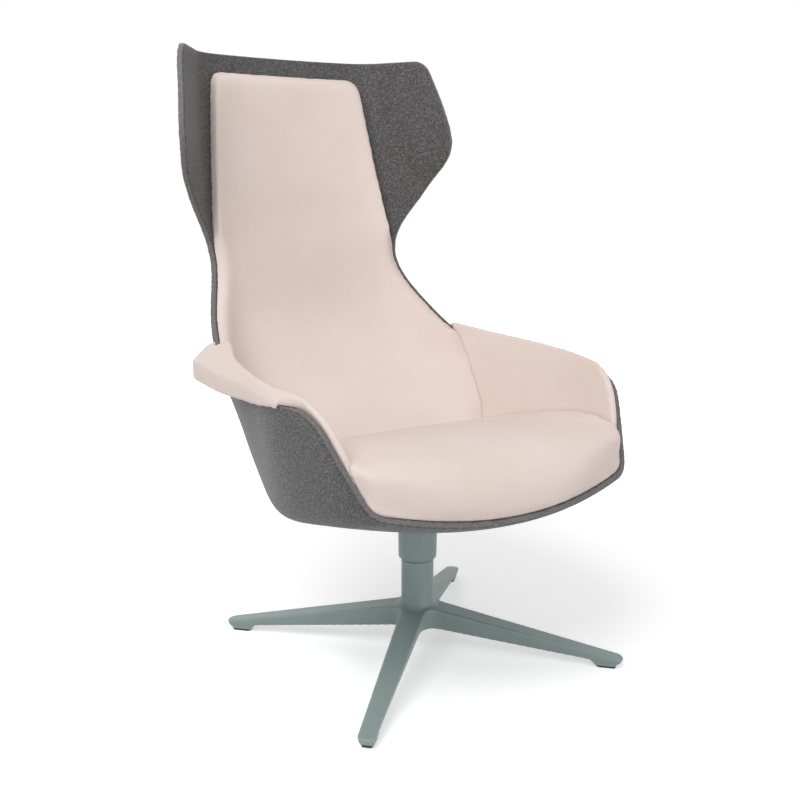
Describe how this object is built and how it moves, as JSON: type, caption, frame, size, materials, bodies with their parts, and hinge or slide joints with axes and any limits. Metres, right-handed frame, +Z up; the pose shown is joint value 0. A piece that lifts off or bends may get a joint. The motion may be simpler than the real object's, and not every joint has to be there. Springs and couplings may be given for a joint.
{
  "type": "high back lounge chair",
  "caption": "High back lounge chair with a moulded felt shell, loose upholstered pads and a swivel column on a cast star base.",
  "frame": {"origin": "centre of the bounding box's bottom face, on the floor", "axes": "+Z up along the swivel column, the sitter faces -Y, +X is the chair's left side seen by the sitter"},
  "size_m": [0.6906, 0.902, 1.176],
  "materials": {
    "felt": "pressed melange felt",
    "upholstery": "plain woven, pale blush",
    "base_paint": "satin powder coat, grey green",
    "glide_plastic": "matte black",
    "bush_plastic": "natural acetal",
    "bearing_steel": "ground",
    "zinc_steel": "zinc plated",
    "cast_plate": "cast, black coated",
    "plywood": "raw birch plywood"
  },
  "bodies": {
    "base": {"star_base": "base_paint", "glide_1": "glide_plastic", "glide_2": "glide_plastic", "glide_3": "glide_plastic", "glide_4": "glide_plastic", "upper_bush": "bush_plastic", "lower_bush": "bush_plastic", "lower_race": "bearing_steel", "ball_cage": "bush_plastic", "bearing_balls": "bearing_steel", "hub_cap": "glide_plastic"},
    "seat": {"felt_shell": "felt", "back_pad": "upholstery", "back_board": "plywood", "back_studs": "glide_plastic", "arm_pad_left": "upholstery", "arm_pad_right": "upholstery", "arm_board_left": "plywood", "arm_board_right": "plywood", "seat_cushion": "upholstery", "seat_board": "plywood", "seat_plate": "cast_plate", "seat_bolts": "zinc_steel", "seat_bolt_washers": "zinc_steel", "tee_nuts": "zinc_steel", "column_screws": "zinc_steel", "column_sleeve": "base_paint", "spindle": "bearing_steel", "upper_race": "bearing_steel", "retaining_washer": "zinc_steel", "circlip": "bearing_steel"}
  },
  "joints": [
    {"name": "swivel", "type": "hinge", "parent": "base", "child": "seat", "pos_m": [0, -0.127, 0.268], "axis": [0, 0, 1], "continuous": true}
  ]
}
